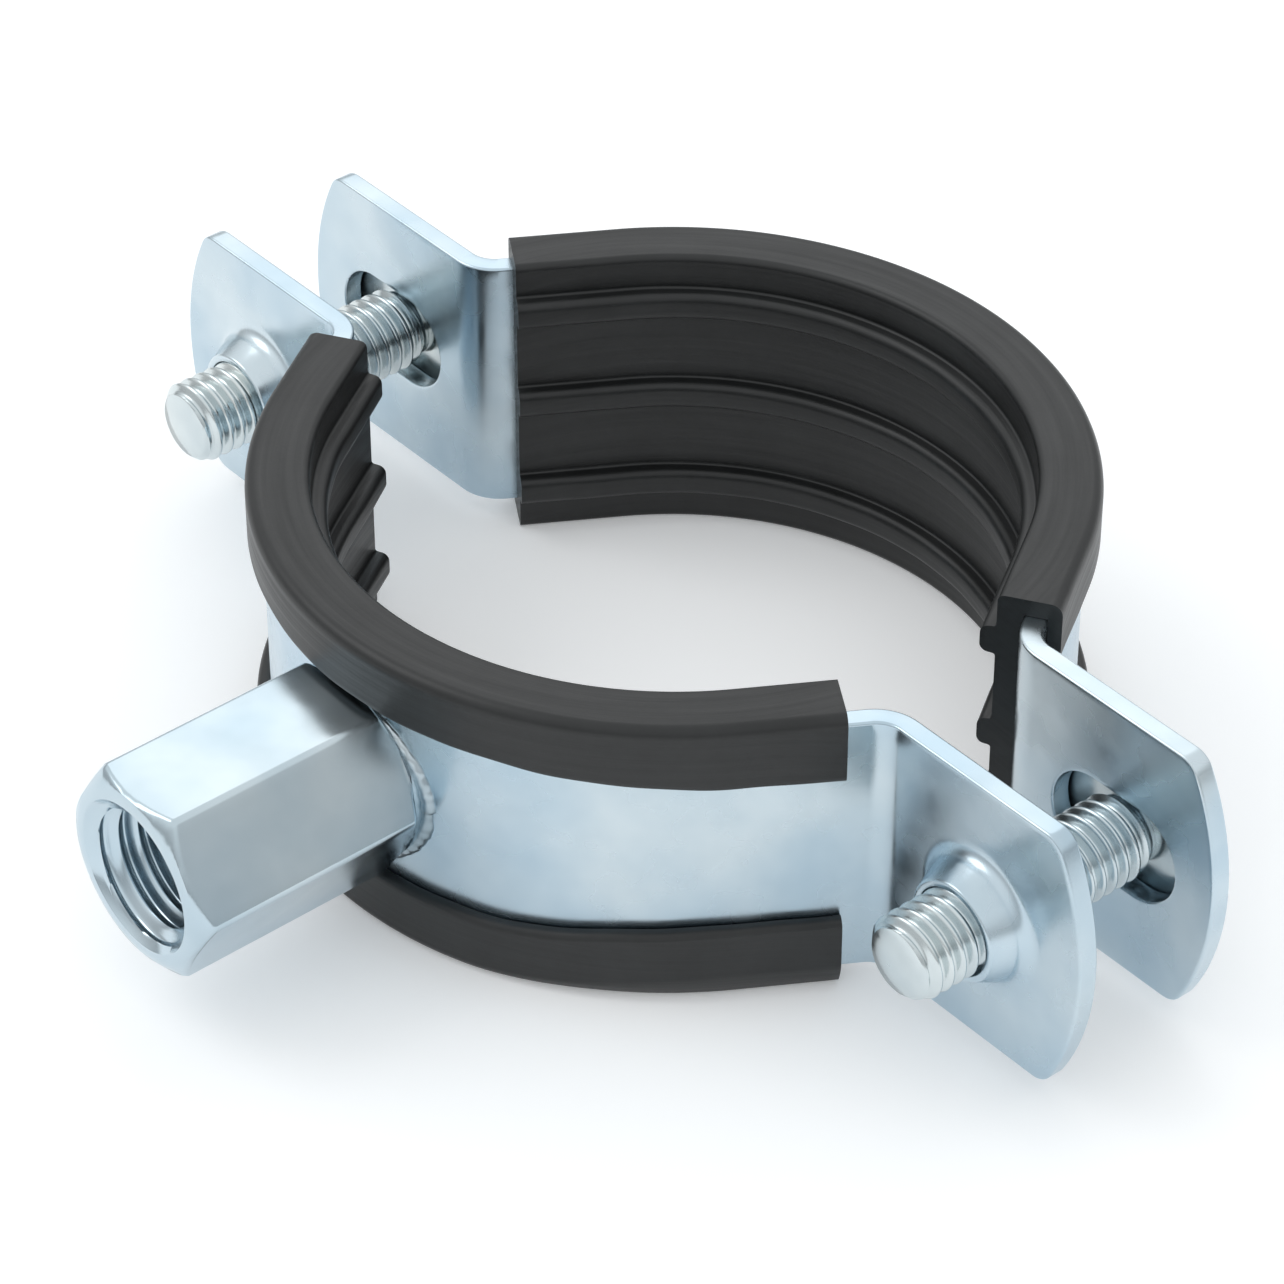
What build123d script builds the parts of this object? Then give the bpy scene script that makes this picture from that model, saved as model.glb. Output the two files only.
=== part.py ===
"""Rubber lined pipe clamp in two halves, drawn together by two screws.

The pipe runs along Z. X points from the left ear to the right ear and Y from the boss to the
rear half. The origin lies on the pipe's axis, halfway along the clamp. Sizes are in millimetres.
"""
from math import cos, radians, sin, sqrt, tan
import os

from build123d import *

# The bent bands
band_width = 20.0
band_thickness = 1.5
band_radius = 25.8          # inner face of the round part
arc_half_angle = 58.0       # how far the round part reaches each side of the middle, in degrees
ear_offset = 5.0            # from the pipe's axis to the face that the two ears show each other
ear_length = 16.7           # flat, from the end of the bend to the tip
ear_end_radius = 20.0
ear_corner_radius = 1.2
bend_radius = 2.0           # inside the bend between band and ear

# The screws and their seats
screw_to_tip = 8.9          # from a screw's axis to the tip of the ear
screw_diameter = 6.0
screw_length = 20.0         # under the head
screw_tip_chamfer = 0.5
thread_clearance = 0.05     # radial, between the plain screw and its collar
collar_wall = 1.15
collar_height = 2.5
collar_root = 0.7           # the flare where the collar leaves the sheet
slot_length = 11.0
slot_width = 7.0
head_diameter = 12.0
head_height = 3.6
head_rim_height = 0.8       # the straight part of the head, below its crown
head_flat_diameter = 6.4    # at the top of the crown
recess_length = 5.6         # of the cross for the driver
recess_width = 1.3
recess_depth = 1.8

# The rubber liners
liner_wall = 1.8            # between band and pipe
liner_rim = 1.3             # over each edge of the band
liner_lip_wall = 1.0        # outside the band
liner_end_gap = 1.6         # from the liner's end to the start of the bend
liner_clearance = 0.03
boss_clearance = 0.2        # between the boss and the lips beside it
liner_edge_break = 0.35
rib_height = 1.1
rib_width = 2.2
rib_edge_break = 0.6
rib_spacing = 7.6
rib_count = 3

# The boss
boss_length = 17.4
boss_across_flats = 13.0
boss_mouth_radius = 6.3
boss_root_radius = 6.6
bore_diameter = 10.0
bore_depth = 13.5
drill_point_angle = 118.0
countersink_diameter = 11.0
weld_width = 1.0
weld_rise = 0.6

half_width = band_width / 2
band_outer_radius = band_radius + band_thickness
bend_angle = radians(arc_half_angle)
bend_face_radius = bend_radius + band_thickness
bend_tangent = bend_face_radius * tan(bend_angle / 2)
arc_end = Vector(band_radius * sin(bend_angle), -band_radius * cos(bend_angle))
leg_direction = Vector(cos(bend_angle), sin(bend_angle))
leg_to_corner = (band_radius * cos(bend_angle) - ear_offset) / sin(bend_angle)
bend_start = arc_end + leg_direction * (leg_to_corner - bend_tangent)
ear_reach = arc_end.X + leg_to_corner * cos(bend_angle) + bend_tangent + ear_length
screw_x = ear_reach - screw_to_tip
screw_radius = screw_diameter / 2
liner_half_width = half_width + liner_rim
liner_lip_height = liner_half_width - boss_across_flats / 2 - boss_clearance
hex_ratio = 2 / sqrt(3)     # across corners over across flats
hexagon_chamfer_angle = 30.0
cut_margin = 1.0            # how far a cutter runs past what it cuts


def mirrored(point):
    return Vector(-point.X, point.Y)


def round_part():
    return CenterArc((0, 0), band_radius, -90 - arc_half_angle, 2 * arc_half_angle)


def band_path():
    """The band's inner face seen along the pipe, from the tip of one ear to the other."""
    right_bend = JernArc(bend_start, leg_direction, bend_face_radius, -arc_half_angle)
    bend_end = right_bend @ 1
    left_bend = JernArc(mirrored(bend_end), (1, 0), bend_face_radius, -arc_half_angle)
    return Wire([
        Line((-ear_reach, -ear_offset), mirrored(bend_end)),
        left_bend,
        Line(mirrored(bend_start), mirrored(arc_end)),
        round_part(),
        Line(arc_end, bend_start),
        right_bend,
        Line(bend_end, (ear_reach, -ear_offset)),
    ])


def liner_path():
    liner_end = bend_start - leg_direction * liner_end_gap
    return Wire([
        Line(mirrored(liner_end), mirrored(arc_end)),
        round_part(),
        Line(arc_end, liner_end),
    ])


def along(path, section):
    """Carry a section along a path. Its first axis points away from the pipe."""
    direction = path % 0
    start = Plane(origin=path @ 0, x_dir=(direction.Y, -direction.X, 0), z_dir=direction)
    return sweep(start * section, path=path)


def block(low, high, half_height):
    """A flat rectangle from low to high in the first axis, centred in the second."""
    return Pos((low + high) / 2, 0) * Rectangle(high - low, 2 * half_height)


def ear_outline():
    outline = Rectangle(2 * ear_reach, band_width)
    for side in (-1, 1):
        centre = side * (ear_reach - ear_end_radius)
        reach = Pos(centre, 0) * Circle(ear_end_radius)
        middle = Pos(centre - side * ear_reach, 0) * Rectangle(2 * ear_reach, band_width)
        outline = outline & (reach + middle)
    corners = [v for v in outline.vertices() if abs(v.X) > screw_x]
    return fillet(corners, ear_corner_radius)


def band():
    """The bent strip with its shaped ears, without holes, in the place of the front half."""
    strip = along(band_path(), block(0, band_thickness, half_width))
    trim = extrude(Plane.XZ * ear_outline(), band_outer_radius, both=True)
    return (strip & trim).solid()


def screw_places():
    """A frame at each screw's axis on the front ears, its own Z axis pointing to the boss side."""
    for side in (-1, 1):
        yield Plane(origin=(side * screw_x, -ear_offset, 0), x_dir=(1, 0, 0), z_dir=(0, -1, 0))


def collar():
    """A collar drawn out of the sheet, about its own Z axis from the sheet's inner face."""
    bore = screw_radius + thread_clearance
    outer = bore + collar_wall
    top = band_thickness + collar_height
    root = outer + collar_root
    section = make_face(Polyline(
        (bore, 0), (root, 0), (root, band_thickness), (outer, band_thickness + collar_root),
        (outer, top), (bore, top), close=True))
    return revolve(Plane.XZ * section, Axis.Z)


def drawn_hole():
    """The hole of a collar with the wide entry that drawing leaves, as a cutter."""
    bore = screw_radius + thread_clearance
    beyond = band_thickness + collar_height + cut_margin
    section = make_face(Polyline(
        (0, 0), (bore + collar_root, 0), (bore, collar_root), (bore, beyond), (0, beyond),
        close=True))
    return revolve(Plane.XZ * section, Axis.Z)


def front_band():
    strip = band()
    for place in screw_places():
        strip = strip + place.location * collar()
        strip = strip - place.location * drawn_hole()
    return strip


def rear_band():
    strip = mirror(band(), about=Plane.XZ)
    slot = extrude(Plane.XZ * SlotOverall(slot_length, slot_width), band_outer_radius, both=True)
    for side in (-1, 1):
        strip = strip - Pos(side * screw_x, 0, 0) * slot
    return strip


def liner_section():
    """The channel that grips both edges of the band, with ribs on the pipe's side."""
    outer = band_thickness + liner_lip_wall
    section = block(-liner_wall, outer, liner_half_width)
    section = chamfer(section.vertices(), liner_edge_break)
    channel = block(-liner_clearance, band_thickness + liner_clearance, half_width + liner_clearance)
    window = block(0, outer + cut_margin, liner_half_width - liner_lip_height)
    section = section - channel - window
    for place in GridLocations(0, rib_spacing, 1, rib_count):
        rib = block(-liner_wall - rib_height, -liner_wall / 2, rib_width / 2)
        crest = [v for v in rib.vertices() if v.X < -liner_wall]
        section = section + place * chamfer(crest, rib_edge_break)
    return section


def liner():
    return along(liner_path(), liner_section()).solid()


def boss_blank():
    """The hexagon bar, turned to a cone at both ends and cut to sit on the round band."""
    mouth = -band_outer_radius - boss_length
    corner = boss_across_flats / 2 * hex_ratio
    slope = tan(radians(hexagon_chamfer_angle))
    mouth_drop = (corner - boss_mouth_radius) * slope
    root_drop = (corner - boss_root_radius) * slope
    seat = -sqrt(band_outer_radius ** 2 - boss_root_radius ** 2)
    bar = extrude(Plane.XZ * RegularPolygon(corner, 6), -mouth)
    turned = make_face(Polyline(
        (0, mouth), (boss_mouth_radius, mouth), (corner, mouth + mouth_drop),
        (corner, -band_outer_radius - root_drop), (boss_root_radius, -band_outer_radius),
        (boss_root_radius, seat), (0, seat), close=True))
    turned = revolve(turned, Axis.Y)
    return (bar & turned) - Cylinder(band_outer_radius, band_width)


def boss():
    mouth = -band_outer_radius - boss_length
    countersink = (countersink_diameter - bore_diameter) / 2
    half_bore = bore_diameter / 2
    drill_point = half_bore / tan(radians(drill_point_angle / 2))
    hole = make_face(Polyline(
        (0, mouth), (countersink_diameter / 2, mouth), (half_bore, mouth + countersink),
        (half_bore, mouth + bore_depth), (0, mouth + bore_depth + drill_point), close=True))
    return boss_blank() - revolve(hole, Axis.Y)


def weld():
    """The bead down each side of the boss's root, which follows the band's curve."""
    crest_radius = band_outer_radius + weld_rise
    skin = Cylinder(crest_radius, band_width) - Cylinder(band_outer_radius, band_width)
    outline = Circle(boss_root_radius + weld_width) & Rectangle(band_width, boss_across_flats)
    bead = skin & extrude(Plane.XZ.offset(band_outer_radius / 2) * outline, band_outer_radius)
    return bead - boss_blank()


def screw():
    """A screw with a pan head, its seat at the origin and its tip along +Z."""
    tip = screw_length - screw_tip_chamfer
    section = make_face(Polyline(
        (0, -head_height), (head_flat_diameter / 2, -head_height),
        (head_diameter / 2, -head_rim_height), (head_diameter / 2, 0), (screw_radius, 0),
        (screw_radius, tip), (screw_radius - screw_tip_chamfer, screw_length), (0, screw_length),
        close=True))
    cross = Box(recess_length, recess_width, 2 * recess_depth)
    cross = cross + Box(recess_width, recess_length, 2 * recess_depth)
    return revolve(Plane.XZ * section, Axis.Z) - Pos(0, 0, -head_height) * cross


def write(name, shape):
    shape.label = name
    export_step(shape, f"parts/{name}.step")
    print(name, round(shape.volume, 1))


def main():
    os.makedirs("parts", exist_ok=True)
    write("front_strap", front_band())
    write("rear_strap", rear_band())
    write("front_liner", liner())
    write("rear_liner", mirror(liner(), about=Plane.XZ))
    write("hex_boss", boss())
    write("boss_weld", weld())
    head_seat = ear_offset + band_thickness
    for name, side in (("left_screw", -1), ("right_screw", 1)):
        seat = Plane(origin=(side * screw_x, head_seat, 0), x_dir=(1, 0, 0), z_dir=(0, -1, 0))
        write(name, seat.location * screw())


main()
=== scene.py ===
import math

import bmesh
import bpy
import numpy as np
from mathutils import Matrix, Vector


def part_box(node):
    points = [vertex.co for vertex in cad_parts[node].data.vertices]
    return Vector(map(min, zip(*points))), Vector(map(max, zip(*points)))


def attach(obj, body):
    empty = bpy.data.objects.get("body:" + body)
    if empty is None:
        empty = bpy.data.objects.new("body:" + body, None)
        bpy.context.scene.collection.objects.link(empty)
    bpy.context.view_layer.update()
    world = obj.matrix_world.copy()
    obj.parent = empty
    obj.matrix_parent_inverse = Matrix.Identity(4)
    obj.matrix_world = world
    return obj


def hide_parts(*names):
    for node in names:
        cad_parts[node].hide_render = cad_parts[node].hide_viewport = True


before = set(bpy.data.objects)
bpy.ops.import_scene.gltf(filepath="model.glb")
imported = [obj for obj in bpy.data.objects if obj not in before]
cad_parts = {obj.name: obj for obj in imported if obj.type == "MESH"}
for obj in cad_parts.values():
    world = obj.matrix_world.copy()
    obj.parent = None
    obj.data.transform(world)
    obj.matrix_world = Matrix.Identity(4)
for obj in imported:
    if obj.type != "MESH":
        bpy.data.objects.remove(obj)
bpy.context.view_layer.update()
print("frame loaded:", len(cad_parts), "nodes")

mm = 0.001
tiny = 1e-9                  # keeps a division away from zero

meshRules = {
    "merge": 2e-7,           # in metres: vertices closer than this become one
    "shortest": 1e-8,        # in metres: edges shorter than this are dissolved
    "flatWeight": 80,        # how firmly a large face keeps its own direction
}

wave = {
    "lengths": (31.0, 17.0, 9.3, 5.1),
    "phase": 2.39,           # step between the phases of the sines
    "peak": 1.7,             # brings their sum to between about -1 and 1
}


def newPiece(name, vertices, faces, material, body, crease):
    # vertices in millimetres and polygons become one closed mesh: doubles merged, faces turned
    # outward, and edges sharper than crease degrees kept sharp
    mesh = bpy.data.meshes.new(name)
    polygons = faces.tolist() if isinstance(faces, np.ndarray) else faces
    mesh.from_pydata((np.asarray(vertices, float) * mm).tolist(), [], polygons)
    work = bmesh.new()
    work.from_mesh(mesh)
    bmesh.ops.remove_doubles(work, verts=work.verts, dist=meshRules["merge"])
    bmesh.ops.dissolve_degenerate(work, dist=meshRules["shortest"], edges=work.edges)
    bmesh.ops.recalc_face_normals(work, faces=work.faces)
    loose = [v for v in work.verts if not v.link_faces]
    bmesh.ops.delete(work, geom=loose, context="VERTS")
    openEdges = sum(1 for e in work.edges if len(e.link_faces) != 2)
    work.to_mesh(mesh)
    work.free()
    print("  ", name, len(mesh.polygons), "faces,", openEdges, "open edges")
    piece = bpy.data.objects.new(name, mesh)
    bpy.context.scene.collection.objects.link(piece)
    mesh.materials.append(material)
    mesh.polygons.foreach_set("use_smooth", np.ones(len(mesh.polygons), bool))
    mesh.set_sharp_from_angle(angle=math.radians(crease))
    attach(piece, body)
    return piece


def flatFacesFirst(piece):
    # large faces keep their own direction, and only the narrow edge strips turn between them
    weighted = piece.modifiers.new("normals", "WEIGHTED_NORMAL")
    weighted.keep_sharp = True
    weighted.weight = meshRules["flatWeight"]


def gridQuads(rows, columns, rowsClose=False):
    # quads between neighbouring rows and columns of a grid whose vertices are numbered row by
    # row: the last column meets the first, and with rowsClose the last row meets the first too
    r = np.arange(rows if rowsClose else rows - 1)[:, None]
    c = np.arange(columns)[None, :]
    above, right = (r + 1) % rows, (c + 1) % columns
    quads = np.stack([r * columns + c, r * columns + right,
                      above * columns + right, above * columns + c], axis=-1)
    return quads.reshape(-1, 4)


def joined(parts):
    # several surfaces as (vertices, quads) put into one pair, with the quads renumbered
    counts = np.cumsum([0] + [len(part[0]) for part in parts])
    vertices = np.concatenate([part[0] for part in parts])
    quads = np.concatenate([part[1] + count for part, count in zip(parts, counts)])
    return vertices, quads


def turned(profile, axisX, around):
    # a profile of (radius, height) turned about the line x = axisX, z = 0, which is parallel to Y
    profile = np.asarray(profile, float)
    angle = 2 * math.pi * np.arange(around) / around
    radius = profile[:, 0:1]
    height = np.broadcast_to(profile[:, 1:2], (len(profile), around))
    vertices = np.stack([axisX + radius * np.cos(angle), height, radius * np.sin(angle)], axis=-1)
    return vertices.reshape(-1, 3), gridQuads(len(profile), around)


def quarterArc(centre, start, end, steps):
    # points of a quarter circle or ellipse about centre, from centre + start to centre + end
    turn = np.linspace(0, math.pi / 2, steps)[:, None]
    return np.asarray(centre) + np.cos(turn) * np.asarray(start) + np.sin(turn) * np.asarray(end)


def roundedOutline(corners, steps):
    # a closed outline through corners (u, v, radius), each replaced by an arc that touches both
    # sides: its centre lies on the line that halves the corner, radius / sin(half the angle) away
    points = np.array([c[:2] for c in corners], float)
    radii = np.array([c[2] for c in corners], float)
    before = np.roll(points, 1, axis=0) - points
    after = np.roll(points, -1, axis=0) - points
    before /= np.linalg.norm(before, axis=1)[:, None]
    after /= np.linalg.norm(after, axis=1)[:, None]
    half = np.arccos(np.clip(np.sum(before * after, axis=1), -1, 1)) / 2
    middle = before + after
    middle /= np.linalg.norm(middle, axis=1)[:, None]
    centre = points + middle * (radii / np.sin(half))[:, None]
    start = points + before * (radii / np.tan(half))[:, None] - centre
    end = points + after * (radii / np.tan(half))[:, None] - centre
    sweep = (math.pi - 2 * half)[:, None]
    share = np.linspace(0, 1, steps)[None, :]
    a = np.sin((1 - share) * sweep) / np.sin(sweep)
    b = np.sin(share * sweep) / np.sin(sweep)
    arc = centre[:, None, :] + a[..., None] * start[:, None, :] + b[..., None] * end[:, None, :]
    return arc.reshape(-1, 2)


def slowWave(s, seed, lengths=wave["lengths"]):
    # a smooth uneven wave between about -1 and 1: sines of several lengths with fixed phases,
    # each weaker than the one before
    total = sum(np.sin(2 * math.pi * s / length + seed * (k + 1) * wave["phase"]) / (k + 1)
                for k, length in enumerate(lengths))
    return total / wave["peak"]


def newMaterial(name):
    # an empty node material, with its nodes, links and shader at hand
    material = bpy.data.materials.new(name)
    material.use_nodes = True
    nodes = material.node_tree.nodes
    return material, nodes, material.node_tree.links, nodes["Principled BSDF"]


def noiseNode(nodes, links, source, scale, detail, roughness=0.55, stretch=(1, 1, 1)):
    # noise over the source coordinates, which are first multiplied by stretch
    mapping = nodes.new("ShaderNodeMapping")
    mapping.inputs["Scale"].default_value = stretch
    links.new(source, mapping.inputs["Vector"])
    noise = nodes.new("ShaderNodeTexNoise")
    noise.inputs["Scale"].default_value = scale
    noise.inputs["Detail"].default_value = detail
    noise.inputs["Roughness"].default_value = roughness
    links.new(mapping.outputs["Vector"], noise.inputs["Vector"])
    return noise.outputs["Fac"]


def rampNode(nodes, links, source, span, lowColor, highColor):
    # lowColor below the span of source values, highColor above it, and a blend between
    ramp = nodes.new("ShaderNodeValToRGB")
    ramp.color_ramp.elements[0].position = span[0]
    ramp.color_ramp.elements[1].position = span[1]
    ramp.color_ramp.elements[0].color = (*lowColor, 1)
    ramp.color_ramp.elements[1].color = (*highColor, 1)
    links.new(source, ramp.inputs["Fac"])
    return ramp.outputs["Color"]


noiseSpan = (0.3, 0.7)       # a noise texture's values lie mostly between these


def rangeNode(nodes, links, source, low, high):
    # a noise's usual span of values stretched to run from low to high
    mapRange = nodes.new("ShaderNodeMapRange")
    mapRange.inputs["From Min"].default_value = noiseSpan[0]
    mapRange.inputs["From Max"].default_value = noiseSpan[1]
    mapRange.inputs["To Min"].default_value = low
    mapRange.inputs["To Max"].default_value = high
    links.new(source, mapRange.inputs["Value"])
    return mapRange.outputs["Result"]


def bumpNode(nodes, links, height, strength, distance, before=None):
    # the surface's direction tipped by the slope of height, on top of the bump before it
    bump = nodes.new("ShaderNodeBump")
    bump.inputs["Strength"].default_value = strength
    bump.inputs["Distance"].default_value = distance
    links.new(height, bump.inputs["Height"])
    if before is not None:
        links.new(before, bump.inputs["Normal"])
    return bump.outputs["Normal"]


# two colours with a cloudy blend between them, least and most roughness, and the grain's repeats
# in a metre along X, Y and Z
zincLooks = {
    "sheet": {"low": (0.48, 0.585, 0.66), "high": (0.61, 0.695, 0.75), "rough": (0.20, 0.32),
              "grain": (60, 60, 1400), "grainStrength": 0.035},
    "bar": {"low": (0.49, 0.58, 0.635), "high": (0.59, 0.67, 0.72), "rough": (0.16, 0.26),
            "grain": (1200, 90, 1200), "grainStrength": 0.03},
    "screw": {"low": (0.52, 0.58, 0.61), "high": (0.73, 0.775, 0.78), "rough": (0.16, 0.28),
              "grain": (500, 500, 500), "grainStrength": 0.06},
    "weld": {"low": (0.30, 0.37, 0.41), "high": (0.62, 0.68, 0.72), "rough": (0.24, 0.46),
             "grain": (1500, 1500, 1500), "grainStrength": 0.35},
}

zincPattern = {
    "clouds": (120, 3.0),    # scale and detail of each noise
    "patches": (260, 2.0),
    "tint": (60, 2.0),
    "pits": (2600, 2.0),
    "grain": (1.0, 6.0, 0.6),
    "cloudSpan": (0.32, 0.68),
    "tintSpan": (0.36, 0.64),
    "blue": (0.93, 0.975, 1.0),
    "straw": (1.0, 0.997, 0.98),
    "pitStrength": 0.012,
    "pitDepth": 0.00005,     # depths in metres
    "grainDepth": 0.00006,
}


def zincMaterial(name, look):
    # bright zinc: a cloudy film between blue and pale straw, patchy gloss, fine grain along the metal
    p = zincPattern
    material, nodes, links, shader = newMaterial(name)
    place = nodes.new("ShaderNodeTexCoord").outputs["Object"]
    clouds = noiseNode(nodes, links, place, *p["clouds"])
    patches = noiseNode(nodes, links, place, *p["patches"])
    tint = noiseNode(nodes, links, place, *p["tint"])
    film = rampNode(nodes, links, tint, p["tintSpan"], p["blue"], p["straw"])
    base = rampNode(nodes, links, clouds, p["cloudSpan"], look["low"], look["high"])
    mixed = nodes.new("ShaderNodeMix")
    mixed.data_type = "RGBA"
    mixed.blend_type = "MULTIPLY"
    mixed.inputs["Factor"].default_value = 1.0
    links.new(base, mixed.inputs["A"])
    links.new(film, mixed.inputs["B"])
    links.new(mixed.outputs["Result"], shader.inputs["Base Color"])
    links.new(rangeNode(nodes, links, patches, *look["rough"]), shader.inputs["Roughness"])
    grain = noiseNode(nodes, links, place, *p["grain"], look["grain"])
    pits = noiseNode(nodes, links, place, *p["pits"])
    fine = bumpNode(nodes, links, pits, p["pitStrength"], p["pitDepth"])
    links.new(bumpNode(nodes, links, grain, look["grainStrength"], p["grainDepth"], fine),
              shader.inputs["Normal"])
    shader.inputs["Metallic"].default_value = 1.0
    return material


rubberLook = {
    "low": (0.0035, 0.0042, 0.0044),
    "high": (0.009, 0.010, 0.0103),
    "rough": (0.36, 0.50),
    "specular": 0.55,
    "dust": (260, 6.0, 0.65),            # scale, detail and roughness of each noise
    "dustSpan": (0.35, 0.72),
    "lines": (1.0, 5.0, 0.6),
    "streaks": (0.05, 2.2, 1.0),         # stretches the lines along the strip
    "lineStrength": 0.22,
    "lineDepth": 0.0001,                 # depths in metres
    "pores": (1900, 3.0),
    "poreStrength": 0.10,
    "poreDepth": 0.00008,
}


def rubberMaterial(name, look):
    # extruded rubber: long faint die lines along the strip, a dusty bloom and fine pores
    material, nodes, links, shader = newMaterial(name)
    coordinates = nodes.new("ShaderNodeTexCoord")
    dust = noiseNode(nodes, links, coordinates.outputs["Object"], *look["dust"])
    links.new(rampNode(nodes, links, dust, look["dustSpan"], look["low"], look["high"]),
              shader.inputs["Base Color"])
    lines = noiseNode(nodes, links, coordinates.outputs["UV"], *look["lines"], look["streaks"])
    pores = noiseNode(nodes, links, coordinates.outputs["Object"], *look["pores"])
    links.new(rangeNode(nodes, links, lines, *look["rough"]), shader.inputs["Roughness"])
    fine = bumpNode(nodes, links, pores, look["poreStrength"], look["poreDepth"])
    links.new(bumpNode(nodes, links, lines, look["lineStrength"], look["lineDepth"], fine),
              shader.inputs["Normal"])
    shader.inputs["Specular IOR Level"].default_value = look["specular"]
    return material


zincSheet = zincMaterial("zincSheet", zincLooks["sheet"])
zincBar = zincMaterial("zincBar", zincLooks["bar"])
zincScrew = zincMaterial("zincScrew", zincLooks["screw"])
zincWeld = zincMaterial("zincWeld", zincLooks["weld"])
blackRubber = rubberMaterial("blackRubber", rubberLook)
print("materials made")


strap = {
    "radius": 25.8,          # of the inner face
    "thickness": 1.5,
    "halfWidth": 10.0,
    "halfAngle": 58.0,       # of the round part, in degrees
    "leg": 8.2856,           # straight, from the round part to the bend
    "bend": 3.5,             # radius of the inner face in the bend
    "earFace": 5.0,          # from the pipe's axis to the ear's inner face
    "earStart": 29.2385,     # where the bend ends
    "earTip": 45.9385,
    "endRadius": 20.0,
    "cornerRadius": 1.6,
    "edge": 0.2,             # rounding of the sheared edges
    "screwX": 37.0385,
    "arcPoints": 44,         # along the round part, from the middle
    "legPoints": 6,
    "bendPoints": 13,
    "cutPoints": 27,         # across the joint of ear and band
    "edgePoints": 5,
    "earEdgePoints": 16,
    "cornerPoints": 6,
    "endPoints": 21,
    "earRows": (0.0, 0.04, 0.25, 0.5, 0.75, 0.95),    # shares of the way from hole to edge
    "crease": 50,
}

collar = {
    "bore": 3.05,
    "rim": 3.62,             # outer radius at its rim
    "outer": 4.20,           # and above its foot
    "height": 2.5,
    "foot": 1.05,            # radius of the flare at its foot
    "mouth": 0.26,           # rounding of its rim, outside
    "lip": 0.15,             # and inside
    "throat": 0.7,           # rounding of the entry on the ear's inner face
    "points": 7,             # along each rounding
    "lipPoints": 4,
}

slot = {
    "half": 2.0,             # half the length of its straight sides
    "radius": 3.5,
    "edge": 0.15,            # rounding of its edges
    "points": 4,             # along each rounding
}


def strapStations(p):
    # the band's inner face from the middle to the ear: arc about the origin, straight leg, bend
    # back to the ear's direction. Each station is a point and a direction angle d, whose tangent
    # is (cos d, sin d) and whose direction away from the pipe is (sin d, -cos d)
    turn = math.radians(p["halfAngle"])
    a = np.linspace(0, turn, p["arcPoints"])
    arc = np.stack([p["radius"] * np.sin(a), -p["radius"] * np.cos(a)], axis=1)
    tangent = np.array([math.cos(turn), math.sin(turn)])
    away = np.array([math.sin(turn), -math.cos(turn)])
    leg = arc[-1] + tangent * np.linspace(0, p["leg"], p["legPoints"])[1:, None]
    b = np.linspace(turn, 0, p["bendPoints"])[1:]
    centre = leg[-1] + away * p["bend"]
    bend = centre - p["bend"] * np.stack([np.sin(b), -np.cos(b)], axis=1)
    bend[-1] = (p["earStart"], -p["earFace"])
    points = np.concatenate([arc, leg, bend])
    angles = np.concatenate([a, np.full(len(leg), turn), b])
    return points, angles


def edgeArc(p):
    # from the inner face round the sheared edge to the outer face: (depth, inset from the edge)
    e, t = p["edge"], p["thickness"]
    turn = np.linspace(0, math.pi / 2, p["edgePoints"])
    near = np.stack([e - e * np.cos(turn), e - e * np.sin(turn)], axis=1)
    far = np.stack([t - e + e * np.sin(turn), e - e * np.cos(turn)], axis=1)
    return np.concatenate([near, far])


def cutHeights(p):
    # even steps across the band between its rounded edges, where band and ear meet
    inset = p["halfWidth"] - p["edge"]
    return np.linspace(-inset, inset, p["cutPoints"])


def bandSurface(p):
    # the strip's closed section of (depth, z) carried from ear to ear
    points, angles = strapStations(p)
    points = np.concatenate([(points * (-1, 1))[:0:-1], points])
    angles = np.concatenate([-angles[:0:-1], angles])
    away = np.stack([np.sin(angles), -np.cos(angles)], axis=1)
    z = cutHeights(p)
    arc = edgeArc(p)[1:-1]
    inner = np.stack([np.zeros(len(z)), z], axis=1)
    top = np.stack([arc[:, 0], p["halfWidth"] - arc[:, 1]], axis=1)
    outer = np.stack([np.full(len(z), p["thickness"]), z[::-1]], axis=1)
    bottom = np.stack([arc[::-1, 0], -p["halfWidth"] + arc[::-1, 1]], axis=1)
    section = np.concatenate([inner, top, outer, bottom])
    x = points[:, 0:1] + away[:, 0:1] * section[:, 0]
    y = points[:, 1:2] + away[:, 1:2] * section[:, 0]
    z = np.broadcast_to(section[:, 1], x.shape)
    vertices = np.stack([x, y, z], axis=-1).reshape(-1, 3)
    return vertices, gridQuads(len(points), len(section))


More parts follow.
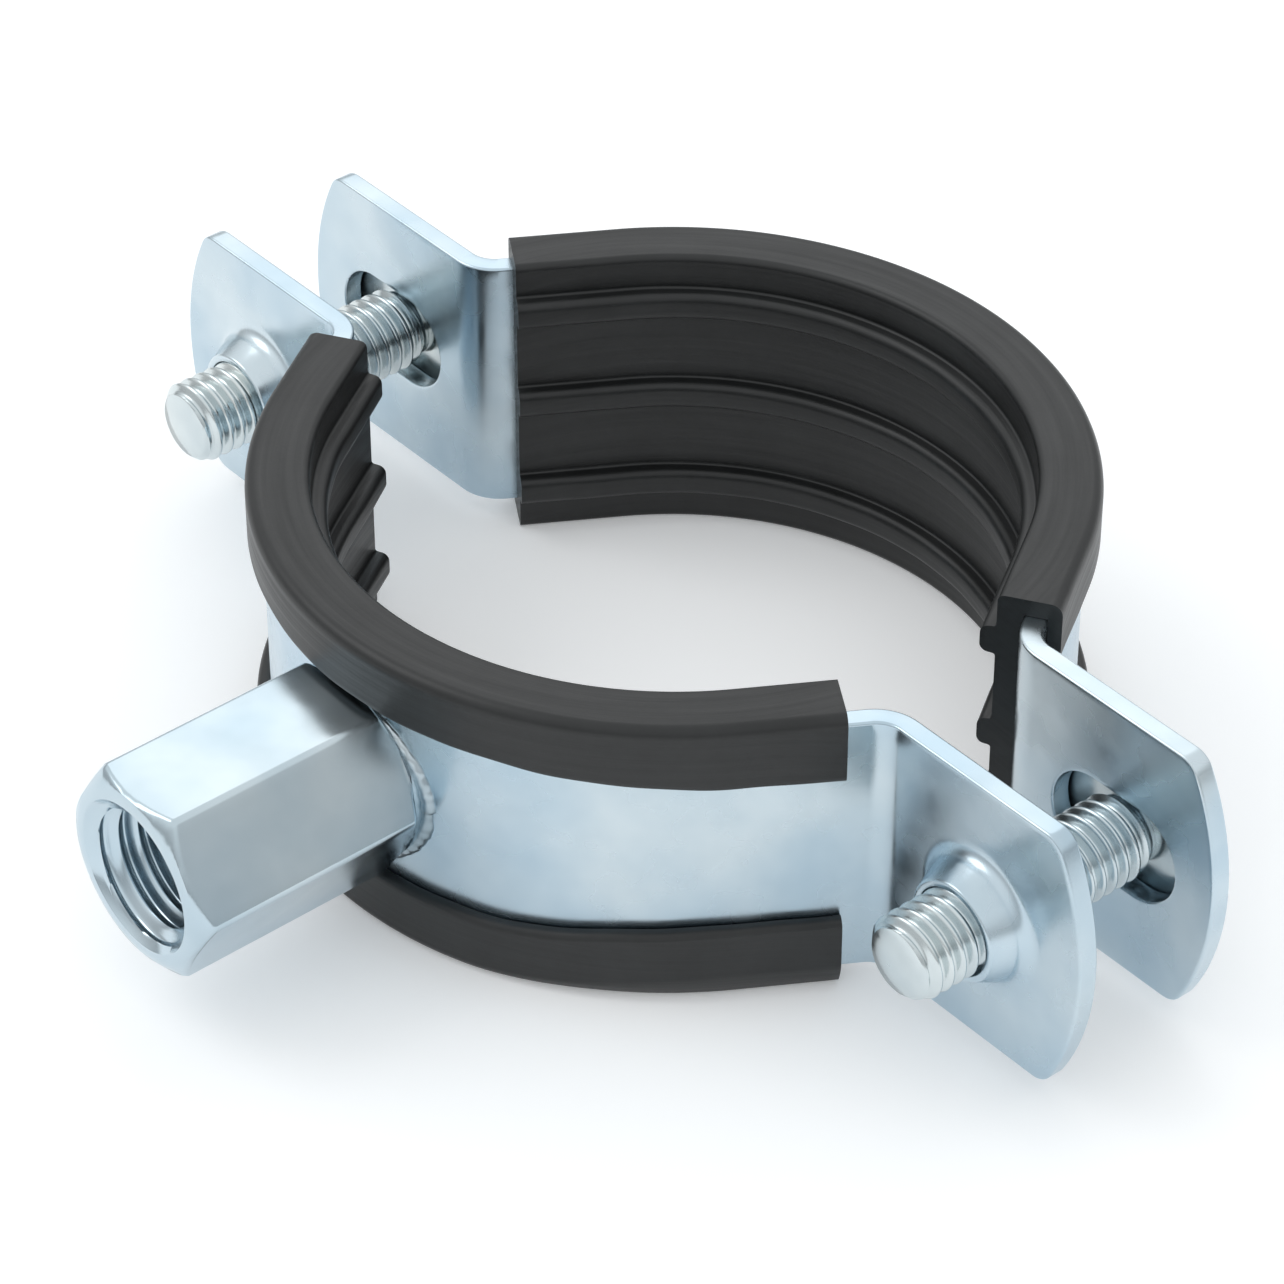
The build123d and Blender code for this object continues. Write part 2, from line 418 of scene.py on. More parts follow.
def earOutline(p):
    # round the ear from the lower end of the joint to its upper end: lower edge, corner, end of a
    # large radius, corner, upper edge; each point has a direction into the sheet
    w, r, c = p["halfWidth"], p["endRadius"], p["cornerRadius"]
    centre = p["earTip"] - r
    corner = centre + math.sqrt((r - c) ** 2 - (w - c) ** 2)
    lean = math.atan2(w - c, corner - centre)
    edge = np.linspace(p["earStart"], corner, p["earEdgePoints"])[:-1]
    lower = np.stack([edge, np.full(len(edge), -w)], axis=1)
    turn = np.linspace(-math.pi / 2, -lean, p["cornerPoints"])[:-1]
    bend = np.array([corner, -w + c]) + c * np.stack([np.cos(turn), np.sin(turn)], axis=1)
    sweep = np.linspace(-lean, lean, p["endPoints"])
    end = np.array([centre, 0.0]) + r * np.stack([np.cos(sweep), np.sin(sweep)], axis=1)
    into = np.concatenate([np.tile([0.0, 1.0], (len(lower), 1)),
                           -np.stack([np.cos(turn), np.sin(turn)], axis=1),
                           -np.stack([np.cos(sweep), np.sin(sweep)], axis=1)])
    outline = np.concatenate([lower, bend, end])
    n = len(lower) + len(bend)
    mirrored = (outline[:n] * (1, -1))[::-1]
    return np.concatenate([outline, mirrored]), np.concatenate([into, (into[:n] * (1, -1))[::-1]])


def holeReach(p, cosine, sine, grown):
    # distance from the screw's axis to the hole's edge in each direction: the same all round a
    # collar, and to a slot's straight side or to its round end
    if p["slotted"]:
        r, h = slot["radius"] + grown, slot["half"]
        straight = r / np.maximum(np.abs(sine), tiny)
        rounded = h * np.abs(cosine) + np.sqrt(np.maximum(r * r - (h * sine) ** 2, 0))
        return np.where(straight * np.abs(cosine) <= h, straight, rounded)
    return np.full(cosine.shape, grown)


def holeRows(p):
    # the way through the hole from the inner face to the outer face, as (grown radius, depth).
    # A slot has two rounded edges; a collar has its throat, then its lip, rim, cone and foot
    t = p["thickness"]
    if p["slotted"]:
        e, n = slot["edge"], slot["points"]
        near = quarterArc((e, e), (0, -e), (-e, 0), n)
        far = quarterArc((e, t - e), (-e, 0), (0, e), n)
        return np.concatenate([near, far])
    c, n = collar, collar["points"]
    top = t + c["height"]
    throat = quarterArc((c["bore"] + c["throat"], c["throat"]), (0, -c["throat"]),
                        (-c["throat"], 0), n)
    lip = quarterArc((c["bore"] + c["lip"], top - c["lip"]), (-c["lip"], 0), (0, c["lip"]),
                     c["lipPoints"])
    rim = quarterArc((c["rim"] - c["mouth"], top - c["mouth"]), (0, c["mouth"]),
                     (c["mouth"], 0), n)
    foot = quarterArc((c["outer"] + c["foot"], t + c["foot"]), (-c["foot"], 0), (0, -c["foot"]), n)
    return np.concatenate([throat, lip, rim, foot])


def earSurface(p, side):
    # rows run from the hole outward on the inner face, round the sheared edge, back on the outer
    # face and through the hole; columns run round the ear, and along the joint only faces exist
    outline, into = earOutline(p)
    z = cutHeights(p)[::-1][1:-1]
    joint = np.stack([np.full(len(z), p["earStart"]), z], axis=1)
    free, total = len(outline), len(outline) + len(z)
    rim = np.concatenate([outline, joint])
    inward = np.concatenate([into, np.zeros((len(z), 2))])
    arc = edgeArc(p)
    inset = rim + inward * p["edge"]
    away = inset - (p["screwX"], 0)
    distance = np.linalg.norm(away, axis=1)
    direction = away / distance[:, None]
    through = holeRows(p)
    share = np.array(p["earRows"])
    places, depths = [], []

    def addRow(reach, depth):
        # one row at the given distances from the screw's axis, each in its own direction
        places.append((p["screwX"], 0) + direction * reach[:, None])
        depths.append(depth)

    start = holeReach(p, direction[:, 0], direction[:, 1], through[0, 0])
    for k in share:
        addRow(start * (1 - k) + distance * k, 0.0)
    for depth, gap in arc:
        places.append(rim + inward * gap)
        depths.append(depth)
    start = holeReach(p, direction[:, 0], direction[:, 1], through[-1, 0])
    for k in share[::-1]:
        addRow(start * (1 - k) + distance * k, p["thickness"])
    for grown, depth in through[::-1]:
        addRow(holeReach(p, direction[:, 0], direction[:, 1], grown), depth)
    places = np.array(places)
    depths = np.broadcast_to(np.array(depths)[:, None], places.shape[:2])
    vertices = np.stack([side * places[..., 0], -p["earFace"] - depths, places[..., 1]], axis=-1)
    quads = gridQuads(len(places), total).reshape(len(places) - 1, total, 4)
    keep = np.ones(quads.shape[:2], bool)
    keep[len(share):len(share) + len(arc) - 1, free - 1:] = False
    return vertices.reshape(-1, 3), quads[keep]


def strapPiece(name, node, body, mirror, slotted):
    # band and both ears in one mesh; mirror is -1 for the strap on the far side of the pipe
    p = dict(strap, slotted=slotted)
    vertices, quads = joined([bandSurface(p), earSurface(p, 1), earSurface(p, -1)])
    vertices = vertices * (1, mirror, 1)
    piece = newPiece(name, vertices, quads, zincSheet, body, p["crease"])
    flatFacesFirst(piece)
    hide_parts(node)


strapPiece("frontStrap", "front_strap", "front_half", 1, False)
strapPiece("rearStrap", "rear_strap", "rear_half", -1, True)
print("straps made")


liner = {
    "radius": 25.8,          # the band's inner face
    "thickness": 1.5,        # of the band
    "halfWidth": 10.0,       # of the band
    "halfAngle": 58.0,       # of the round part, in degrees
    "leg": 6.6856,           # straight, past the round part
    "wall": 1.8,
    "rim": 1.3,
    "lipWall": 1.0,
    "lipHeight": 4.6,
    "gap": 0.03,
    "outerRounding": 0.8,    # of the corners outside the band
    "innerRounding": 0.5,    # of the corners on the pipe's side
    "lipRounding": 0.5,      # of the lips' free edges
    "gripRounding": 0.2,     # of the same edges on the band's side
    "channelRounding": 0.12,
    "ribHeight": 1.1,
    "ribHalfBase": 1.1,
    "ribHalfCrest": 1.0,
    "ribCrown": 0.62,        # rounding of a rib's crest
    "ribRoot": 0.22,         # rounding at its foot
    "ribSpacing": 7.6,
    "swellFrom": 9.0,        # along the strip from the middle, where the lips begin to change
    "swellRun": 17.0,
    "upperSwell": 0.0,       # how far the upper lip grows down
    "lowerLift": 0.0,        # how far the lower lip is lifted
    "lipWaver": 0.28,        # how unevenly the lips' free edges run
    "lipReach": 2.5,         # how far from its free edge a lip gives way
    "lipShift": 40,          # between the waves of the two lips
    "ribWaver": 0.12,
    "ribShift": 17,          # between the waves of neighbouring ribs
    "mapRise": 0.8,          # how far the map climbs for each millimetre of radius
    "stations": 110,         # each side of the middle
    "cornerPoints": 7,
    "crease": 42,
}

frontLiner = {"seed": 0.7, "upperSwell": 0.7, "lowerLift": 1.5}
rearLiner = {"seed": 2.1, "leg": 7.5}


def linerPath(p):
    # stations along the band's inner face: straight leg, arc about the origin, straight leg.
    # Returns places, directions away from the pipe and the length from the middle
    turn = math.radians(p["halfAngle"])
    reach = p["radius"] * turn + p["leg"]
    s = np.linspace(-reach, reach, p["stations"] * 2 + 1)
    angle = np.clip(s / p["radius"], -turn, turn)
    beyond = s - angle * p["radius"]
    outward = np.stack([np.sin(angle), -np.cos(angle)], axis=1)
    forward = np.stack([np.cos(angle), np.sin(angle)], axis=1)
    return outward * p["radius"] + forward * beyond[:, None], outward, s


def linerOutline(p):
    # the channel round both edges of the band as (away from the pipe, along the pipe), with
    # rounded corners; its inside face carries ribs, each narrower at its crest
    top = p["halfWidth"] + p["rim"]
    inner = p["halfWidth"] + p["gap"]
    outer = p["thickness"] + p["lipWall"]
    grip = p["thickness"] + p["gap"]
    lip = top - p["lipHeight"]
    upper = [(-p["wall"], top, p["innerRounding"]), (outer, top, p["outerRounding"]),
             (outer, lip, p["lipRounding"]), (grip, lip, p["gripRounding"]),
             (grip, inner, p["channelRounding"]), (-p["gap"], inner, p["channelRounding"])]
    corners = upper + [(u, -v, rounding) for u, v, rounding in upper[::-1]]
    crest = -p["wall"] - p["ribHeight"]
    for place in (-p["ribSpacing"], 0.0, p["ribSpacing"]):
        corners += [(-p["wall"], place - p["ribHalfBase"], p["ribRoot"]),
                    (crest, place - p["ribHalfCrest"], p["ribCrown"]),
                    (crest, place + p["ribHalfCrest"], p["ribCrown"]),
                    (-p["wall"], place + p["ribHalfBase"], p["ribRoot"])]
    return roundedOutline(corners, p["cornerPoints"])


def linerPiece(name, node, body, mirror, own):
    # the outline carried along the path, with uneven lips and ribs; own holds what differs from
    # the common values, and the seed that starts this piece's waves
    p = dict(liner, **own)
    places, outward, s = linerPath(p)
    outline = linerOutline(p)
    rows, columns = len(places), len(outline)
    u = np.broadcast_to(outline[:, 0], (rows, columns)).copy()
    v = np.broadcast_to(outline[:, 1], (rows, columns)).copy()
    along = np.broadcast_to(s[:, None], (rows, columns))
    # the lips' free edges draw back unevenly
    lipStart = p["halfWidth"] + p["rim"] - p["lipHeight"]
    onLip = (u > p["thickness"]) * np.clip(1 - (np.abs(v) - lipStart) / p["lipReach"], 0, 1)
    drawn = p["lipWaver"] * (0.5 + 0.5 * slowWave(along + p["lipShift"] * (v > 0), p["seed"]))
    v += np.sign(v) * onLip * drawn
    # towards the right end, eased at both ends of the run, the upper lip grows down and the lower
    # lip is lifted with its corner
    rightward = np.clip((along - p["swellFrom"]) / p["swellRun"], 0, 1)
    rightward = rightward * rightward * (3 - 2 * rightward)
    v -= onLip * (v > 0) * p["upperSwell"] * rightward
    onOutside = np.clip((u - p["thickness"]) / p["lipWall"], 0, 1)
    v += np.maximum(onLip, onOutside) * (v < 0) * p["lowerLift"] * rightward
    # the ribs' crests stand up unevenly
    onRib = np.clip((-u - p["wall"]) / p["ribHeight"], 0, 1)
    ribShift = p["ribShift"] * np.round(v / p["ribSpacing"])
    u += onRib * p["ribWaver"] * (0.5 + 0.5 * slowWave(along + ribShift, p["seed"] + 1))
    x = places[:, 0:1] + outward[:, 0:1] * u
    y = places[:, 1:2] + outward[:, 1:2] * u
    vertices = np.stack([x, mirror * y, v], axis=-1).reshape(-1, 3)
    quads = gridQuads(rows, columns).tolist()
    last = (rows - 1) * columns
    caps = [list(range(columns))[::-1], list(range(last, last + columns))]
    piece = newPiece(name, vertices, quads + caps, blackRubber, body, p["crease"])
    stripMap(piece.data, p, mirror)
    flatFacesFirst(piece)
    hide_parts(node)


def stripMap(mesh, p, mirror):
    # unrolled map from each point's own place: the length along the strip, and its height plus
    # a share of its distance from the pipe's axis
    points = np.zeros(len(mesh.vertices) * 3)
    mesh.vertices.foreach_get("co", points)
    points = points.reshape(-1, 3) / mm
    strip = p["radius"] * np.arctan2(points[:, 0], -mirror * points[:, 1])
    across = points[:, 2] + p["mapRise"] * np.hypot(points[:, 0], points[:, 1])
    layer = mesh.uv_layers.new(name="strip")
    corners = np.zeros(len(mesh.loops), int)
    mesh.loops.foreach_get("vertex_index", corners)
    layer.data.foreach_set("uv", np.stack([strip, across], axis=1)[corners].ravel())


linerPiece("frontLiner", "front_liner", "front_half", 1, frontLiner)
linerPiece("rearLiner", "rear_liner", "rear_half", -1, rearLiner)
print("liners made")


screw = {
    "pitch": 1.0,
    "crest": 3.0,            # outer radius of the thread
    "root": 2.42,
    "flats": (0.14, 0.86),   # where the thread's root ends and its crest begins
    "seat": 6.5,             # under the head, along Y
    "runOut": 1.2,           # length over which the thread fades under the head
    "plain": 0.2,            # without thread, up to the seat
    "intoHead": 0.3,         # how far the shank goes on inside the head
    "tip": -13.5,
    "tipRadius": 2.36,
    "around": 72,
    "perTurn": 12,
    "headRadius": 6.0,
    "headHeight": 3.6,
    "headRim": 0.8,          # straight part of the head
    "crown": 2.5,            # power of the dome's curve
    "shoulder": 0.9,         # width of the dome's steep edge
    "seatEdge": 0.2,         # rounding under the head
    "seatInner": 2.0,        # radius of a ring of vertices inside the shank
    "crossReach": 2.8,
    "crossHalf": 0.65,
    "crossDepth": 1.8,
    "domePoints": 6,         # on its crown, and again on its shoulder
    "floorColumns": 5,       # in each arm of the cross
    "freeColumns": 11,       # between two arms
    "crease": 48,
}


def helixSurface(low, high, pitch, perTurn, around, radiusAt, axisX=0.0):
    # a grid that follows a right-hand thread: column i is lifted by i / around of a pitch, so its
    # last column meets the first one a turn further up. Heights past the ends close up to a circle
    rows = int(math.ceil((high - low) / pitch + 2)) * perTurn
    row = np.arange(rows)[:, None]
    column = np.arange(around)[None, :]
    share = row / perTurn + 0 * column
    height = np.clip(low + (share - 1 + column / around) * pitch, low, high)
    radius = radiusAt(share % 1.0, height)
    angle = -2 * math.pi * column / around + 0 * row
    vertices = np.stack([axisX + radius * np.cos(angle), height, radius * np.sin(angle)], axis=-1)
    r = np.arange(rows - 1)[:, None]
    c = np.arange(around - 1)[None, :]
    body = np.stack([r * around + c, r * around + c + 1,
                     (r + 1) * around + c + 1, (r + 1) * around + c], axis=-1).reshape(-1, 4)
    s = np.arange(rows - 1 - perTurn)
    last = around - 1
    seam = np.stack([s * around + last, (s + perTurn) * around,
                     (s + 1 + perTurn) * around, (s + 1) * around + last], axis=-1)
    return vertices.reshape(-1, 3), np.concatenate([body, seam])


def threadWave(share, flats):
    # 0 to 1 and back over one turn: flat below the first share, straight flanks, flat above the
    # second
    low, high = flats
    rise = np.abs(share * 2 - 1)
    return np.clip((rise - low) / (high - low), 0, 1)


def shankSurface(p, axisX):
    # thread with a cone at its tip, running out under the head; both ends are closed by discs
    high = p["seat"] + p["intoHead"]

    def radiusAt(share, height):
        # the thread between root and crest, cut by the tip's cone and fading under the head
        radius = p["root"] + (p["crest"] - p["root"]) * threadWave(share, p["flats"])
        radius = np.minimum(radius, p["tipRadius"] + (height - p["tip"]))
        runOut = np.clip((p["seat"] - p["plain"] - height) / p["runOut"], 0, 1)
        return p["root"] + (radius - p["root"]) * runOut

    helix = helixSurface(p["tip"], high, p["pitch"], p["perTurn"], p["around"], radiusAt, axisX)
    tip = turned([(0, p["tip"]), (p["tipRadius"] * 0.5, p["tip"]), (p["tipRadius"], p["tip"])],
                 axisX, p["around"])
    end = turned([(0, high), (p["root"], high)], axisX, p["around"])
    return joined([helix, tip, end])


def headSurface(p, axisX):
    # a domed pan head with a cross recess. In each quarter the columns are: the recess's edge at
    # the top, those on its floor, its other edge at the top, those over the free part between
    w, arm, rimRadius = p["crossHalf"], p["crossReach"], p["headRadius"]
    corner = w * math.sqrt(2)
    rimHeight = p["seat"] + p["headRim"]
    top = p["headHeight"] - p["headRim"]
    floor = p["seat"] + p["headHeight"] - p["crossDepth"]
    shoulder = p["shoulder"]

    def domeAt(reach):
        # above the rim: the dome's height times the root of 1 - (reach / rim's radius) ^ crown
        return rimHeight + top * np.sqrt(np.maximum(1 - (reach / rimRadius) ** p["crown"], 0))

    n = p["domePoints"]
    dome = np.concatenate([np.linspace(arm, rimRadius - shoulder, n)[1:],
                           rimRadius - shoulder * (1 - np.sin(np.linspace(0, math.pi / 2, n)[1:]))])
    reach = np.concatenate([[0, corner, corner, arm, arm], dome, [rimRadius] * 2,
                            [rimRadius - p["seatEdge"], p["seatInner"], 0]])
    height = np.concatenate([domeAt(np.array([0, corner, corner, arm, arm])), domeAt(dome),
                             [rimHeight, p["seat"] + p["seatEdge"]], [p["seat"]] * 3])
    half = np.where(reach[:, None] >= corner, np.arcsin(np.minimum(
        w / np.maximum(reach[:, None], tiny), math.sqrt(0.5))), math.pi / 4)
    inRecess = np.linspace(-1, 1, p["floorColumns"])[None, :]
    free = np.linspace(0, 1, p["freeColumns"] + 2)[None, 1:-1]
    quarter = np.concatenate([-half, half * inRecess, half,
                              half + (math.pi / 2 - 2 * half) * free], axis=1)
    angle = np.concatenate([quarter + k * math.pi / 2 for k in range(4)], axis=1)
    isFloor = np.tile([False] + [True] * p["floorColumns"] + [False] * (p["freeColumns"] + 1), 4)
    rows, columns = angle.shape
    row = np.arange(rows)[:, None]
    raised = np.where(isFloor, row >= 4, row >= 2)    # an arm's floor has four rows, the middle two
    y = np.where(raised, height[:, None], floor)
    vertices = np.stack([axisX + reach[:, None] * np.cos(angle), y,
                         reach[:, None] * np.sin(angle)], axis=-1)
    return vertices.reshape(-1, 3), gridQuads(rows, columns)


def screwPiece(name, node):
    # shank and head about the axis of the CAD screw
    p = screw
    low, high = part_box(node)
    axisX = (low.x + high.x) / 2 / mm
    vertices, quads = joined([shankSurface(p, axisX), headSurface(p, axisX)])
    piece = newPiece(name, vertices, quads, zincScrew, node, p["crease"])
    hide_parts(node)


screwPiece("leftScrew", "left_screw")
screwPiece("rightScrew", "right_screw")
print("screws made")


boss = {
    "bandRadius": 27.3,      # of the band's outer face
    "mouth": -44.7,
    "halfFlats": 6.5,
    "cornerRounding": 0.55,
    "mouthRadius": 6.12,
    "rootRadius": 6.6,
    "mouthAngle": 34.0,      # of the cone at the mouth, in degrees
    "rootAngle": 30.0,       # and of the one at the root
    "edge": 0.24,
    "edgeTurn": (0.8, 0.5),  # shares of it: how far the mouth's edge runs outward and back
    "edgeFlat": 0.9,         # and how far each cone's edge stays short of the flats
    "intoBand": 0.02,        # how far the root goes into the band's face
    "countersink": 5.4,      # its radius at the mouth
    "threadEntry": 5.02,     # its radius where the thread begins
    "entrySlope": 1.7,       # how fast the first crest closes in with depth
    "entryBlend": 0.05,      # rounding between the entry and the thread
    "entryRun": 0.2,         # depth over which that rounding grows
    "minor": 4.22,           # radius over the thread's crests
    "major": 4.98,
    "flats": (0.05, 0.80),   # where the thread's crest ends and its groove begins
    "pitch": 1.5,
    "perTurn": 14,
    "depth": 13.5,           # of the full bore
    "runOut": 2.0,           # length over which the thread fades
    "plain": 0.2,            # without thread, at the bore's end
    "drillPoint": 118.0,
    "cornerPoints": 5,
    "flatPoints": 11,        # between two corners
    "crease": 40,
}


def hexOutline(p):
    # distance and angle round a hexagon with corners at 0, 60, ... degrees, each corner rounded:
    # points on its arc, then points along the flat
    corner = p["halfFlats"] * 2 / math.sqrt(3)
    turn = np.arange(6) * math.pi / 3
    points = np.stack([corner * np.cos(turn), corner * np.sin(turn)], axis=1)
    onArc = p["cornerPoints"]
    arcs = roundedOutline([(*q, p["cornerRounding"]) for q in points], onArc).reshape(6, onArc, 2)
    following = np.roll(arcs, -1, axis=0)[:, :1]
    share = np.linspace(0, 1, p["flatPoints"] + 2)[None, 1:-1, None]
    flats = arcs[:, -1:] * (1 - share) + following * share
    outline = np.concatenate([arcs, flats], axis=1).reshape(-1, 2)
    return np.hypot(outline[:, 0], outline[:, 1]), np.arctan2(outline[:, 1], outline[:, 0])


def bossSurface(p):
    # rows from the thread's end at the mouth: countersink, end face, cone, hexagon, cone, root,
    # seat on the band. Each column meets both cones where its own distance asks
    reach, angle = hexOutline(p)
    e, band, mouthRadius, root = p["edge"], p["bandRadius"], p["mouthRadius"], p["rootRadius"]
    turnOut, turnBack = p["edgeTurn"]
    slope = math.tan(math.radians(p["mouthAngle"]))
    rootSlope = math.tan(math.radians(p["rootAngle"]))
    one = np.ones(len(reach))
    mouthCone = p["mouth"] + (reach - mouthRadius) * slope
    rootCone = -band - (reach - root) * rootSlope
    seat = -np.sqrt(band ** 2 - (root * np.cos(angle)) ** 2)
    rows = [
        (p["countersink"] * one, p["mouth"] * one),
        ((p["countersink"] + e) * one, p["mouth"] * one),
        ((mouthRadius - e) * one, p["mouth"] * one),
        ((mouthRadius + e * turnOut) * one, (p["mouth"] + e * turnBack) * one),
        (np.maximum(reach - e * p["edgeFlat"], mouthRadius + e * turnOut),
         np.maximum(mouthCone - e * p["edgeFlat"] * slope, p["mouth"] + e * turnBack)),
        (reach, mouthCone + e),
        (reach, mouthCone * 0.5 + rootCone * 0.5),
        (reach, rootCone - e),
        (np.maximum(reach - e * p["edgeFlat"], root * one),
         rootCone + e * p["edgeFlat"] * rootSlope),
        (root * one, (-band + p["intoBand"]) * one),
        (root * one, seat + p["intoBand"]),
        (root * 0.5 * one, -np.sqrt(band ** 2 - (root * 0.5 * np.cos(angle)) ** 2)),
        (0 * one, -band * one),
    ]
    radius = np.array([row[0] for row in rows])
    height = np.array([row[1] for row in rows])
    vertices = np.stack([radius * np.cos(angle), height, radius * np.sin(angle)], axis=-1)
    return vertices.reshape(-1, 3), gridQuads(len(rows), len(reach))


def boreSurface(p):
    # thread inside the bore: opened by the countersink at the mouth, running out to the plain
    # drilled hole at its end, which a cone closes. Its first circle sits on the countersink
    start = p["mouth"] + p["countersink"] - p["threadEntry"]
    end = p["mouth"] + p["depth"]

    def radiusAt(share, height):
        # the wider of thread and entry cone, with a soft change from one to the other
        radius = p["minor"] + (p["major"] - p["minor"]) * threadWave(share, p["flats"])
        runOut = np.clip((end - p["plain"] - height) / p["runOut"], 0, 1)
        radius = p["minor"] + (radius - p["minor"]) * runOut
        entry = p["threadEntry"] - (height - start) * p["entrySlope"]
        soft = p["entryBlend"] * np.clip((height - start) / p["entryRun"], 0, 1)
        return (radius + entry + np.sqrt((radius - entry) ** 2 + soft * soft)) / 2

    helix = helixSurface(start, end, p["pitch"], p["perTurn"], p["around"], radiusAt)
    sink = turned([(p["countersink"], p["mouth"]), (p["threadEntry"], start)], 0.0, p["around"])
    point = p["minor"] / math.tan(math.radians(p["drillPoint"] / 2))
    cone = turned([(p["minor"], end), (p["minor"] * 0.5, end + point * 0.5), (0, end + point)], 0.0,
                  p["around"])
    return joined([sink, helix, cone])


def bossPiece():
    # hexagon and bore in one mesh, with as many columns each. The bore's are evenly spread, so
    # each point of the end face's inner circle moves to the nearest even angle
    n = 6 * (boss["cornerPoints"] + boss["flatPoints"])
    p = dict(boss, around=n)
    body, bodyQuads = bossSurface(p)
    angle = np.arctan2(body[:n, 2], body[:n, 0])
    steps = np.arange(n) - n // 2
    even = np.empty(n)
    even[np.argsort(angle)] = steps * 2 * math.pi / n
    body[:n, 0] = p["countersink"] * np.cos(even)
    body[:n, 2] = p["countersink"] * np.sin(even)
    vertices, quads = joined([(body, bodyQuads), boreSurface(p)])
    piece = newPiece("hexBoss", vertices, quads, zincBar, "front_half", p["crease"])
    flatFacesFirst(piece)
    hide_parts("hex_boss")


bossPiece()
print("boss made")


weld = {
    "bandRadius": 27.3,
    "seam": 6.85,            # radius of the bead's middle about the boss's axis
    "seamHeight": 6.1,       # where the bead's middle passes the liner's lips
    "bead": 0.44,            # radius of its section
    "flatness": 0.85,        # its height as a share of its width
    "ripple": 0.06,
    "rippleMiddle": 0.6,     # a drop's average height
    "rippleShift": 0.7,      # how far the wave moves the drops
    "ripples": 46,
    "waver": 0.16,           # of the seam's radius
    "beadWaver": 0.22,       # of the bead's thickness
    "waveLengths": (9.0, 5.0, 3.1, 1.7),
    "waveSpan": 5,           # length of wave for each radian
    "waveSeed": 0.4,
    "around": 260,
    "section": 12,
    "crease": 60,
}


def weldPiece():
    # a bead laid round the boss where it meets the round band: a tube of uneven thickness whose
    # middle follows the band, rippled where each drop froze
    p = weld
    angle = 2 * math.pi * np.arange(p["around"]) / p["around"]
    wobble = slowWave(angle * p["waveSpan"], p["waveSeed"], p["waveLengths"])
    drop = np.abs(np.sin(angle * p["ripples"] / 2 + p["rippleShift"] * wobble))
    seam = p["seam"] + 0.5 * p["waver"] * wobble
    bead = p["bead"] * (1 + p["beadWaver"] * wobble) + p["ripple"] * (drop - p["rippleMiddle"])
    ring = 2 * math.pi * np.arange(p["section"]) / p["section"]
    beside = bead[:, None] * np.cos(ring)
    x = (seam[:, None] + beside) * np.cos(angle)[:, None]
    z = (seam[:, None] * p["seamHeight"] / p["seam"] + beside) * np.sin(angle)[:, None]
    face = -np.sqrt(p["bandRadius"] ** 2 - x ** 2)
    y = face - bead[:, None] * np.sin(ring) * p["flatness"]
    vertices = np.stack([x, y, z], axis=-1).reshape(-1, 3)
    quads = gridQuads(p["around"], p["section"], rowsClose=True)
    piece = newPiece("weldBead", vertices, quads, zincWeld, "front_half", p["crease"])
    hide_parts("boss_weld")


weldPiece()
print("weld made")


view = {
    "azimuth": 49.797,
    "elevation": 38.2,
    "roll": -0.071,
    "distance": 345.827,
    "target": (2.367, -4.782, -0.059),
    "sensor": 36,
    "focal": 5199.02,        # in pixels of a frame this wide:
    "frame": 1284,
    "near": 0.01,            # in metres, what the camera sees
    "far": 20,
}


def addCamera(v):
    # stands at the given turn and height round the target; roll turns the picture
    az, el, roll = (math.radians(v[k]) for k in ("azimuth", "elevation", "roll"))
    back = Vector((math.sin(az) * math.cos(el), -math.cos(az) * math.cos(el), math.sin(el)))
    right = Vector((math.cos(az), math.sin(az), 0))
    up = back.cross(right)
    across = right * math.cos(roll) + up * math.sin(roll)
    above = up * math.cos(roll) - right * math.sin(roll)
    data = bpy.data.cameras.new("camera")
    data.sensor_width = v["sensor"]
    data.lens = v["sensor"] * v["focal"] / v["frame"]
    data.clip_start = v["near"]
    data.clip_end = v["far"]
    camera = bpy.data.objects.new("camera", data)
    bpy.context.scene.collection.objects.link(camera)
    place = (Vector(v["target"]) + back * v["distance"]) * mm
    turn = Matrix((across, above, back)).transposed()
    camera.matrix_world = Matrix.Translation(place) @ turn.to_4x4()
    bpy.context.scene.camera = camera


studio = {
    "floor": (0.92, 0.92, 0.92),
    "floorRough": 0.85,
    "floorSpecular": 0.1,
    "floorGlow": 0.20,
    "glowColor": (0.97, 0.985, 1.0),
    "floorHeight": -11.32,
    "floorSize": 6.0,        # from the middle to its edge, in metres
    "sky": (0.96, 0.985, 1.0),
    "skyTop": 1.0,
    "skyLow": 0.50,
    "skyRise": (0.08, 0.55),     # heights between which it brightens
    "key": {"place": (-0.5, -0.4, 0.7), "size": 0.5, "power": 1.3},
    "back": {"place": (-0.6, 0.507, 0.618), "size": 0.6, "power": 0.64},
}


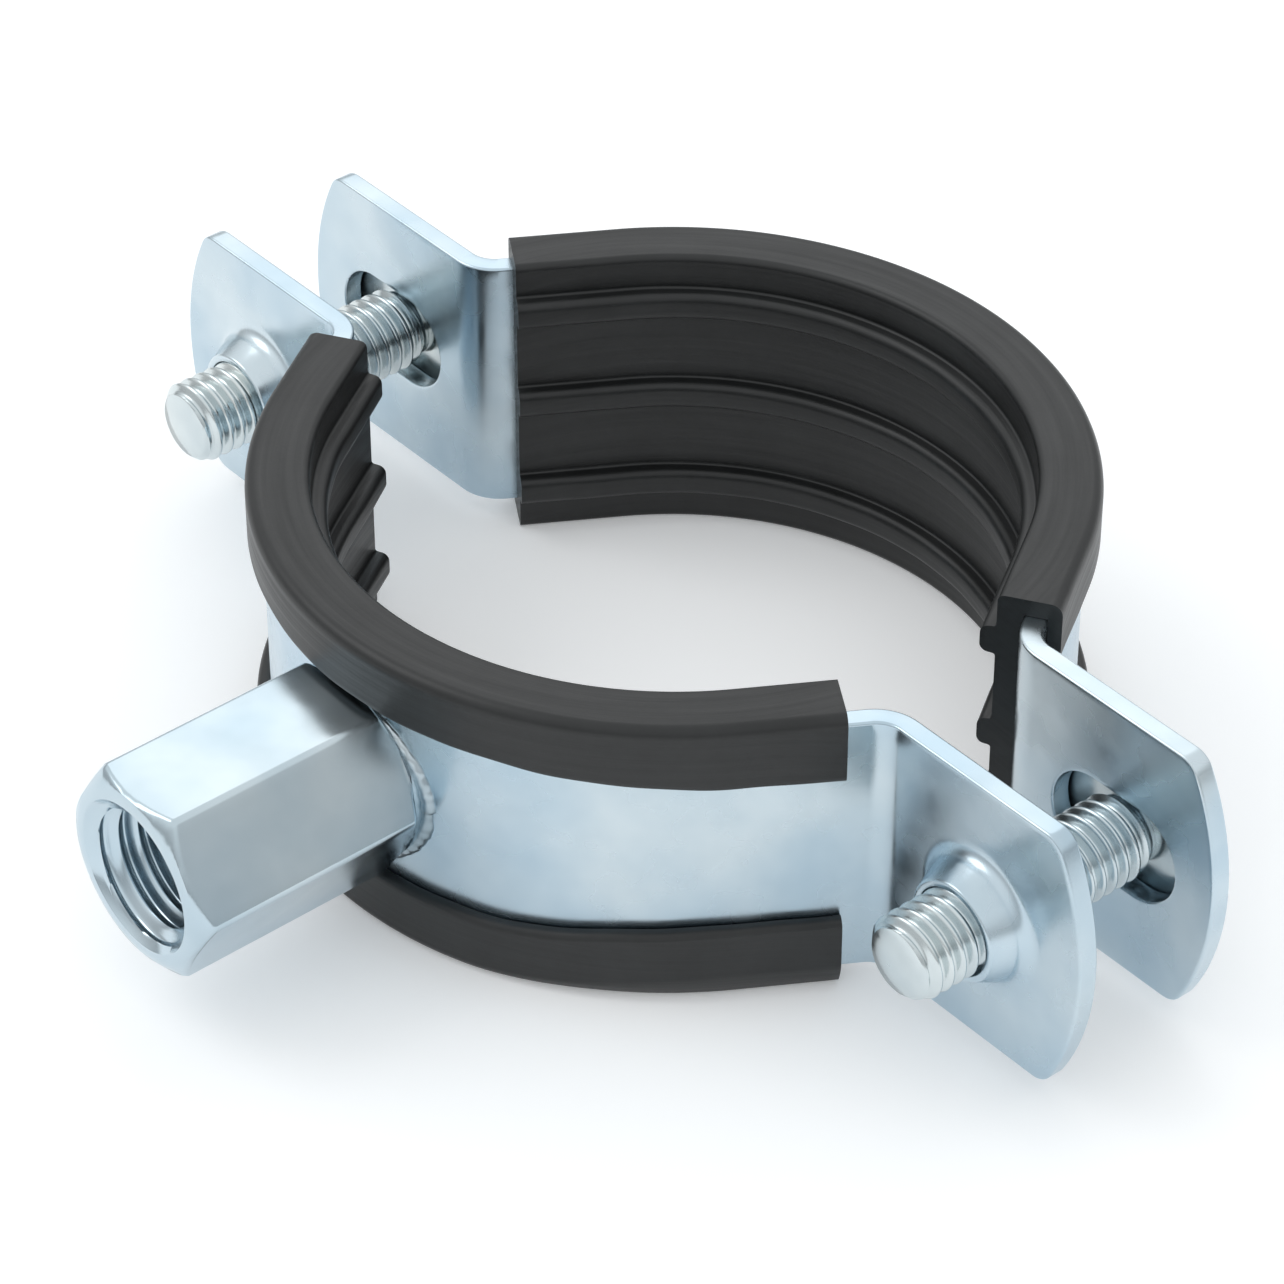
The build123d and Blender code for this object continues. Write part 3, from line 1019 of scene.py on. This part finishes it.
def addFloor(s):
    # one large square under the object, with a faint glow of its own
    mesh = bpy.data.meshes.new("floor")
    size, z = s["floorSize"], s["floorHeight"] * mm
    mesh.from_pydata([(-size, -size, z), (size, -size, z), (size, size, z), (-size, size, z)], [],
                     [(0, 1, 2, 3)])
    material, *_, shader = newMaterial("floorPaper")
    shader.inputs["Base Color"].default_value = (*s["floor"], 1)
    shader.inputs["Roughness"].default_value = s["floorRough"]
    shader.inputs["Specular IOR Level"].default_value = s["floorSpecular"]
    shader.inputs["Emission Color"].default_value = (*s["glowColor"], 1)
    shader.inputs["Emission Strength"].default_value = s["floorGlow"]
    mesh.materials.append(material)
    floor = bpy.data.objects.new("floor", mesh)
    bpy.context.scene.collection.objects.link(floor)


def addAreaLight(name, lamp):
    # a square soft light that faces the origin
    data = bpy.data.lights.new(name, "AREA")
    data.shape = "RECTANGLE"
    data.size = data.size_y = lamp["size"]
    data.energy = lamp["power"]
    light = bpy.data.objects.new(name, data)
    light.location = lamp["place"]
    light.rotation_euler = (-Vector(lamp["place"])).to_track_quat("-Z", "Y").to_euler()
    bpy.context.scene.collection.objects.link(light)


def addSky(s):
    # a pale dome, brighter overhead than near the horizon
    world = bpy.data.worlds.new("sky")
    world.use_nodes = True
    nodes, links = world.node_tree.nodes, world.node_tree.links
    background = nodes["Background"]
    direction = nodes.new("ShaderNodeTexCoord").outputs["Generated"]
    split = nodes.new("ShaderNodeSeparateXYZ")
    links.new(direction, split.inputs["Vector"])
    height = nodes.new("ShaderNodeMapRange")
    height.inputs["From Min"].default_value = s["skyRise"][0]
    height.inputs["From Max"].default_value = s["skyRise"][1]
    height.inputs["To Min"].default_value = s["skyLow"]
    height.inputs["To Max"].default_value = s["skyTop"]
    links.new(split.outputs["Z"], height.inputs["Value"])
    background.inputs["Color"].default_value = (*s["sky"], 1)
    links.new(height.outputs["Result"], background.inputs["Strength"])
    bpy.context.scene.world = world


addCamera(view)
addFloor(studio)
addSky(studio)
addAreaLight("keyLight", studio["key"])
addAreaLight("backLight", studio["back"])
bpy.context.scene.view_settings.view_transform = "Standard"
print("camera and light set")
